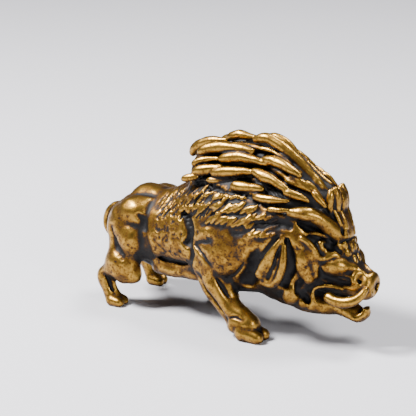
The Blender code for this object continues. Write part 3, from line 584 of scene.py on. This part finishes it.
def leaf(count, thick):
    """Radii along a lock: a blunt end, a swelling t^0.7 (1 - t), and a slope down to the root."""
    t = np.linspace(0, 1, count)
    return thick * (0.66 + 1.24 * t ** 0.7 * (1 - t) - 0.16 * t)


side_locks = [    # tip, middle and root (x, z), and thickness
    ((15.2, 26.8), (18.4, 27.9), (23.9, 28.1), 0.93),
    ((14.5, 25.1), (16.2, 25.9), (18.9, 26.4), 0.58), ((19.1, 26.4), (22.5, 27.0), (26.9, 26.8), 0.86),
    ((26.3, 27.3), (29.2, 27.1), (32.4, 26.0), 0.86),
    ((13.4, 22.8), (14.4, 23.1), (15.6, 23.4), 0.6), ((15.2, 24.1), (17.0, 24.7), (19.3, 25.3), 0.83),
    ((18.5, 24.3), (21.5, 25.0), (24.9, 25.4), 0.88), ((25.2, 25.5), (28.0, 24.9), (31.2, 23.9), 0.92),
    ((22.3, 23.1), (24.2, 23.3), (27.2, 23.4), 0.85), ((26.4, 22.2), (28.9, 22.3), (31.8, 22.4), 0.68),
    ((31.2, 23.5), (32.7, 23.2), (34.5, 22.5), 0.7), ((29.3, 21.0), (31.0, 21.1), (32.8, 21.1), 0.5),
    ((35.0, 23.7), (35.9, 22.9), (36.9, 21.9), 0.58)]
crest_locks = [    # path (x, y, z) and thickness
    ([(11.7, 0, 25.4), (13.8, 0, 27.3), (18.0, 0, 28.3)], 0.85),
    ([(18.2, 0.1, 28.7), (20.4, 0.1, 29.5), (23.4, 0.1, 29.4)], 0.75),
    ([(24.2, 0.9, 29.5), (26.1, 0.9, 29.7), (28.2, 0.9, 29.0), (29.9, 0.9, 27.7)], 0.72),
    ([(29.6, 0.6, 27.2), (31.8, 0.4, 25.7), (34.1, 0.3, 23.8)], 0.68),
    ([(23.9, -1.2, 29.6), (25.7, -1.2, 30.1), (27.8, -1.1, 29.3), (30.1, -1.0, 28.0), (32.3, -0.9, 26.3),
      (34.4, -0.9, 24.6), (35.8, -0.9, 23.4)], 0.85)]
far_locks = side_locks[:3] + [((25.4, 26.7), (27.0, 26.2), (28.6, 25.2), 0.8)] + side_locks[4:10] + [
    ((30.6, 22.4), (32.0, 22.1), (33.4, 21.4), 0.6), ((29.3, 21.0), (31.0, 21.1), (32.8, 21.1), 0.5)]
low_strands = [
    ((17.4, 23.1), (19.6, 23.4), (22.0, 23.9), 0.5), ((20.4, 25.8), (22.8, 26.1), (25.2, 26.3), 0.45),
    ((27.4, 26.2), (29.4, 25.6), (31.6, 24.7), 0.5), ((24.6, 28.4), (27.0, 28.3), (29.4, 27.3), 0.45),
    ((24.8, 24.2), (26.6, 24.0), (28.6, 23.4), 0.45), ((27.6, 28.1), (29.6, 27.3), (31.6, 26.0), 0.5),
    ((31.0, 25.6), (32.8, 24.7), (34.6, 23.5), 0.55), ((30.4, 24.9), (32.0, 24.5), (33.6, 23.8), 0.42),
    ((33.4, 24.9), (34.7, 24.0), (36.0, 22.9), 0.45)]
top_strands = [
    [(13.6, 1.2, 25.6), (16.5, 1.6, 27.2), (20.5, 1.7, 28.2)],
    [(20.8, 1.4, 28.4), (23.5, 1.7, 28.8), (26.5, 1.8, 28.6)],
    [(26.8, 2.1, 27.9), (29.2, 2.0, 27.2), (31.8, 1.8, 25.6)],
    [(31.0, 1.5, 26.2), (33.0, 1.4, 25.0), (35.2, 1.3, 23.6)]]
for s in (NEAR, FAR):
    for points in top_strands:
        bead(points, s, [0.35, 0.6, 0.35], 0.4)
    for tip, middle, root, thick in low_strands:
        curve = parabola(tip, middle, root)
        out = s * (mane_half_width(curve[:, 0], curve[:, 1]) - 0.75)
        roll(wax, np.stack([curve[:, 0], out, curve[:, 1]], 1), leaf(len(curve), thick), soft=0.12, steps=2)
    for tip, middle, root, thick in (side_locks if s == NEAR else far_locks):
        curve = parabola(tip, middle, root)
        out = s * (mane_half_width(curve[:, 0], curve[:, 1]) - 0.05)
        roll(wax, np.stack([curve[:, 0], out, curve[:, 1]], 1), leaf(len(curve), thick), soft=0.06, steps=2,
             squash=(1, 0.95, 1))
    roll(wax, to_side([(37.0, 1.0, 23.6), (37.2, 1.0, 22.4), (37.4, 1.0, 20.9)], s), [0.55, 0.8, 0.7],
         soft=0.2)
    roll(wax, to_side([(37.0, 1.8, 23.8), (37.1, 2.1, 22.9), (37.1, 2.1, 21.8), (37.2, 2.0, 20.6)], s),
         [0.42, 0.6, 0.58, 0.34], soft=0.12)
    roll(wax, to_side([(37.3, 1.05, 24.0), (37.7, 1.15, 23.0), (37.9, 1.15, 21.8), (37.9, 1.1, 20.1)], s),
         [0.42, 0.55, 0.52, 0.34], soft=0.12)
    roll(wax, to_side([(37.3, 0.1, 23.7), (37.9, 0.25, 22.9), (38.15, 0.3, 21.8), (38.0, 0.3, 20.0)], s),
         [0.4, 0.5, 0.5, 0.34], soft=0.12)
for points, thick in crest_locks:
    path = parabola(*points) if len(points) == 3 else smooth_path(points, np.ones(len(points)), 2)[0]
    roll(wax, path, leaf(len(path), thick), soft=0.06, steps=2)

wax.d += uneven(2.3, 0.07) + uneven(0.85, 0.035)         # the hand-worked skin is never quite even
wax.d = np.maximum(wax.d, -wax.axes[2][None, None, :])   # the ground cuts the soles flat


# Casting
#
# The wax is burnt out and bronze poured in its place: the solid's surface becomes one closed bronze skin. How
# much metal surrounds each place is kept for the colour: small hollows as patina that polishing cloth can't
# reach, wide hollows as patina and painted shade. Faces that turn down get painted shade, and the skin under
# the locks and behind the ears painted shade with patina.

def skin(wax):
    """Surface nets: a point in each cell that the surface crosses, at the mean of its crossed edges, and a
    four-sided face around each crossed edge."""
    d = wax.d
    inside = d < 0
    shape = np.array(d.shape) - 1
    count = np.zeros(shape, np.int8)
    corners = [(i, j, k) for i in (0, 1) for j in (0, 1) for k in (0, 1)]
    for i, j, k in corners:
        count += inside[i:i + shape[0], j:j + shape[1], k:k + shape[2]]
    active = np.argwhere((count > 0) & (count < 8))
    number = np.full(shape, -1, np.int64)
    number[tuple(active.T)] = np.arange(len(active))
    total, hits = np.zeros((len(active), 3)), np.zeros(len(active))
    for corner in corners:
        for axis in range(3):
            if corner[axis]:
                continue
            other = np.array(corner)
            other[axis] = 1
            a, b = d[tuple((active + corner).T)], d[tuple((active + other).T)]
            crossed = (a < 0) != (b < 0)
            point = np.tile(np.array(corner, float), (len(active), 1))
            point[:, axis] = np.where(crossed, a / np.where(crossed, a - b, 1), 0)
            total += point * crossed[:, None]
            hits += crossed
    points = (active + total / hits[:, None]) * wax.cell + np.array([axis[0] for axis in wax.axes])
    faces = []
    for axis in range(3):
        u, v = (axis + 1) % 3, (axis + 2) % 3
        lower, upper = [slice(None)] * 3, [slice(None)] * 3
        lower[axis], upper[axis] = slice(0, -1), slice(1, None)
        edge = inside[tuple(lower)] != inside[tuple(upper)]
        at = np.argwhere(edge)
        at = at[(at[:, u] > 0) & (at[:, v] > 0) & (at[:, u] < d.shape[u] - 1) & (at[:, v] < d.shape[v] - 1)]
        out = inside[tuple(at.T)]
        ring = []
        for du, dv in ((-1, -1), (0, -1), (0, 0), (-1, 0)):
            cell = at.copy()
            cell[:, u] += du
            cell[:, v] += dv
            ring.append(number[tuple(cell.T)])
        ring = np.stack(ring, 1)
        faces.append(np.where(out[:, None], ring, ring[:, ::-1]))
    return points, np.concatenate(faces)


def largest_skin(points, faces):
    """The largest joined surface, without loose drops and closed bubbles. Each point takes the lowest number
    among its faces until nothing changes, so the points of one surface end with one number."""
    label = np.arange(len(points))
    while True:
        lowest = label.copy()
        np.minimum.at(lowest, faces.ravel(), np.repeat(label[faces].min(1), 4))
        lowest = lowest[lowest]
        if (lowest == label).all():
            break
        label = lowest
    surface = label[faces[:, 0]]
    kept = faces[surface == np.bincount(surface).argmax()]
    used = np.unique(kept)
    return points[used], np.searchsorted(used, kept)


points, faces = largest_skin(*skin(wax))
full = np.clip(0.5 - wax.d / CELL, 0, 1)    # share of each cell that is metal
near_share = read_at(evened(full, 0.4), points)
# Wide hollows darken as patina and as painted shade.
wide_share = 0.5 * read_at(evened(full, 1.0), points) + 0.5 * read_at(evened(full, 2.2), points)
on_ridge = np.clip(1.2 - np.abs(read_at(ridge, points)) / 0.3, 0, 1)
# Under the locks: painted shade, with patina there too.
lock_shade_and_patina = on_ridge * np.clip((points[:, 2] - 20.0) / 1.0, 0, 1)
# Faces that turn down are darkened: painted shade on the undersides.
underside_painted_shade = np.clip(0.1 - on_skin(points)[1][:, 2], 0, 0.8) / 0.8
flattened = (1, 1, 1.3)    # the painted shade and patina behind each ear is a little wider than high
ear_roots = np.array([(30.6, s * 6.5, 18.7) for s in (NEAR, FAR)]) * flattened
# A darkened patch behind each ear: painted shade together with patina.
from_ear = np.linalg.norm((points * flattened)[:, None] - ear_roots, axis=2).min(1)
# One mask of painted shade and patina: under the locks, on faces that turn down and behind the ears.
patina_and_painted_shade = np.maximum(np.maximum(lock_shade_and_patina, 0.8 * underside_painted_shade), np.clip(1.5 - from_ear / 2.2, 0, 1))
mesh = bpy.data.meshes.new("bronze_boar")
mesh.from_pydata(place(points), [], faces)
mesh.validate()
mesh.shade_smooth()
for name, share in (("fine_hollow", near_share), ("deep_hollow", wide_share), ("patina_and_painted_shade", patina_and_painted_shade)):
    layer = mesh.attributes.new(name, 'FLOAT', 'POINT')
    layer.data.foreach_set("value", share.astype(np.float32))
boar = bpy.data.objects.new("bronze_boar", mesh)
bpy.context.scene.collection.objects.link(boar)
TRIANGLES = 190000    # triangles the piece is thinned to, fewer than 200,000
fewer = boar.modifiers.new("fewer_triangles", 'DECIMATE')
fewer.ratio = TRIANGLES / (2 * len(faces))
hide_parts("boar")
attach(boar, "root")


# Bronze
#
# Antique bronze: the casting is darkened all over with a sulphur patina and then rubbed, so high places are
# warm polished metal and hollows stay brown-black and dull. Brushed on wet, the patina dries in soft patches,
# and the sand-fine grain of the cast skin keeps dark specks and breaks up the shine.
# The same darkening also paints shade: in wide hollows, under the locks, behind the ears and on faces that
# turn down.

def linear(hex_colour):
    """Linear colour of an sRGB hex value: the sRGB curve undone for each channel."""
    channels = [int(hex_colour[i:i + 2], 16) / 255 for i in (1, 3, 5)]
    return [c / 12.92 if c <= 0.04045 else ((c + 0.055) / 1.055) ** 2.4 for c in channels] + [1.0]


def node(tree, kind, links=(), inputs=(), **settings):
    """Add a node, set its properties and inputs, and link outputs to its inputs."""
    new = tree.nodes.new(kind)
    for name, value in settings.items():
        setattr(new, name, value)
    for key, value in dict(inputs).items():
        new.inputs[key].default_value = value
    for key, socket in dict(links).items():
        tree.links.new(socket, new.inputs[key])
    return new


bronze = bpy.data.materials.new("patinated_bronze_with_painted_shade")
bronze.use_nodes = True
tree = bronze.node_tree
shader = tree.nodes["Principled BSDF"]
where = node(tree, 'ShaderNodeTexCoord').outputs["Object"]
fine = node(tree, 'ShaderNodeAttribute', attribute_name="fine_hollow").outputs["Fac"]
deep = node(tree, 'ShaderNodeAttribute', attribute_name="deep_hollow").outputs["Fac"]
# The mask of painted shade and patina under the locks, on undersides and behind the ears.
patina_and_shade_part = node(tree, 'ShaderNodeAttribute', attribute_name="patina_and_painted_shade").outputs["Fac"]

MM = 1000                        # in a metre: noise takes its scale in patches per metre
PATCH, SPECK = 10 / 9, 0.3125    # mm across one patch of the patina and one grain of the cast skin
blotch = node(tree, 'ShaderNodeTexNoise', {"Vector": where},
              {"Scale": MM / PATCH, "Detail": 6.0, "Roughness": 0.65}).outputs["Fac"]
grain = node(tree, 'ShaderNodeTexNoise', {"Vector": where},
             {"Scale": MM / SPECK, "Detail": 4.0, "Roughness": 0.6}).outputs["Fac"]

# The darkening adds the hollows (patina in the small ones, patina and painted shade in the wide ones), 0.55
# of the mask of painted shade and patina on undersides, under the locks and behind the ears, the specks and
# 0.9 of the patches about their mean.
fine_dirt = node(tree, 'ShaderNodeMapRange', {"Value": fine},
                 {"From Min": 0.45, "From Max": 0.64}).outputs["Result"]
# Wide hollows: patina and painted shade.
deep_patina_and_shade = node(tree, 'ShaderNodeMapRange', {"Value": deep},
                 {"From Min": 0.46, "From Max": 0.68}).outputs["Result"]
dark_patina_and_shade = node(tree, 'ShaderNodeMath', {0: fine_dirt, 1: deep_patina_and_shade}, operation='ADD').outputs[0]
patina_and_shade_part = node(tree, 'ShaderNodeMath', {0: patina_and_shade_part}, {1: 0.55}, operation='MULTIPLY').outputs[0]
dark_patina_and_shade = node(tree, 'ShaderNodeMath', {0: dark_patina_and_shade, 1: patina_and_shade_part}, operation='ADD').outputs[0]
specks = node(tree, 'ShaderNodeMapRange', {"Value": grain},
              {"From Min": 0.52, "From Max": 0.72, "To Max": 0.5}).outputs["Result"]
dark_patina_and_shade = node(tree, 'ShaderNodeMath', {0: dark_patina_and_shade, 1: specks}, operation='ADD').outputs[0]
noise = node(tree, 'ShaderNodeMath', {0: blotch}, {1: 0.5}, operation='SUBTRACT').outputs[0]
noise = node(tree, 'ShaderNodeMath', {0: noise}, {1: 0.9}, operation='MULTIPLY').outputs[0]
dark_patina_and_shade = node(tree, 'ShaderNodeMath', {0: dark_patina_and_shade, 1: noise}, operation='ADD', use_clamp=True).outputs[0]

# Clean metal is golden, and patina and painted shade turn it brown, then nearly black, less metallic and
# duller.
colour = node(tree, 'ShaderNodeValToRGB', {"Fac": dark_patina_and_shade})
ramp = colour.color_ramp
ramp.elements[0].position, ramp.elements[0].color = 0.0, linear("#9f7a35")
ramp.elements[1].position, ramp.elements[1].color = 0.9, linear("#0c0a0b")
for spot, tint in ((0.3, "#6b4a1c"), (0.6, "#2a1b0e")):
    stop = ramp.elements.new(spot)
    stop.color = linear(tint)
tree.links.new(colour.outputs["Color"], shader.inputs["Base Color"])
metal = node(tree, 'ShaderNodeMapRange', {"Value": dark_patina_and_shade},
             {"From Min": 0.3, "From Max": 0.9, "To Min": 1.0, "To Max": 0.6})
tree.links.new(metal.outputs["Result"], shader.inputs["Metallic"])
dull = node(tree, 'ShaderNodeMapRange', {"Value": dark_patina_and_shade},
            {"From Min": 0.0, "From Max": 0.8, "To Min": 0.24, "To Max": 0.5})
rough = node(tree, 'ShaderNodeMath', {0: grain}, {1: 0.16}, operation='MULTIPLY').outputs[0]
rough = node(tree, 'ShaderNodeMath', {0: dull.outputs["Result"], 1: rough}, operation='ADD').outputs[0]
tree.links.new(rough, shader.inputs["Roughness"])
bumps = node(tree, 'ShaderNodeMath', {0: blotch, 1: grain}, operation='ADD').outputs[0]
bump = node(tree, 'ShaderNodeBump', {"Height": bumps}, {"Strength": 0.35, "Distance": 0.06 / MM})
tree.links.new(bump.outputs["Normal"], shader.inputs["Normal"])
mesh.materials.append(bronze)


# Table and light
#
# A plain pale table top under soft square studio lamps: the key on the left, a weaker one above and behind,
# and a weak fill on the right. The world adds a little even grey light.

table_mesh = bpy.data.meshes.new("table")
table_mesh.from_pydata([(-3, -3, 0), (3, -3, 0), (3, 3, 0), (-3, 3, 0)], [], [(0, 1, 2, 3)])
table = bpy.data.objects.new("table", table_mesh)
bpy.context.scene.collection.objects.link(table)
pale = bpy.data.materials.new("pale_matt_board")
pale.use_nodes = True
pale.node_tree.nodes["Principled BSDF"].inputs["Base Color"].default_value = linear("#c0bfc4")
pale.node_tree.nodes["Principled BSDF"].inputs["Roughness"].default_value = 0.6
table_mesh.materials.append(pale)


def lamp(name, position, size, power, aim_at=(0, 0, 0.012)):
    """A square lamp, its size in metres and its power in watts, that looks at a point. Its tilt is the angle
    between straight up and the line from that point to the lamp, and it is turned to face along that line."""
    light = bpy.data.lights.new(name, 'AREA')
    light.shape = 'SQUARE'
    light.size = size
    light.energy = power
    holder = bpy.data.objects.new(name, light)
    holder.location = position
    away = np.array(position, float) - np.array(aim_at)
    turn = math.atan2(away[1], away[0]) + math.pi / 2
    tilt = math.acos(away[2] / np.linalg.norm(away))
    holder.rotation_euler = (tilt, 0, turn)
    bpy.context.scene.collection.objects.link(holder)


lamp("key_lamp", (-0.16, -0.12, 0.28), 0.085, 5.1)
lamp("top_lamp", (0.05, 0.12, 0.32), 0.10, 1.8)
lamp("side_lamp", (0.30, -0.12, 0.16), 0.06, 0.7)
world = bpy.data.worlds.new("studio")
bpy.context.scene.world = world
world.use_nodes = True
world.node_tree.nodes["Background"].inputs["Color"].default_value = linear("#c4c3cc")
world.node_tree.nodes["Background"].inputs["Strength"].default_value = 0.13
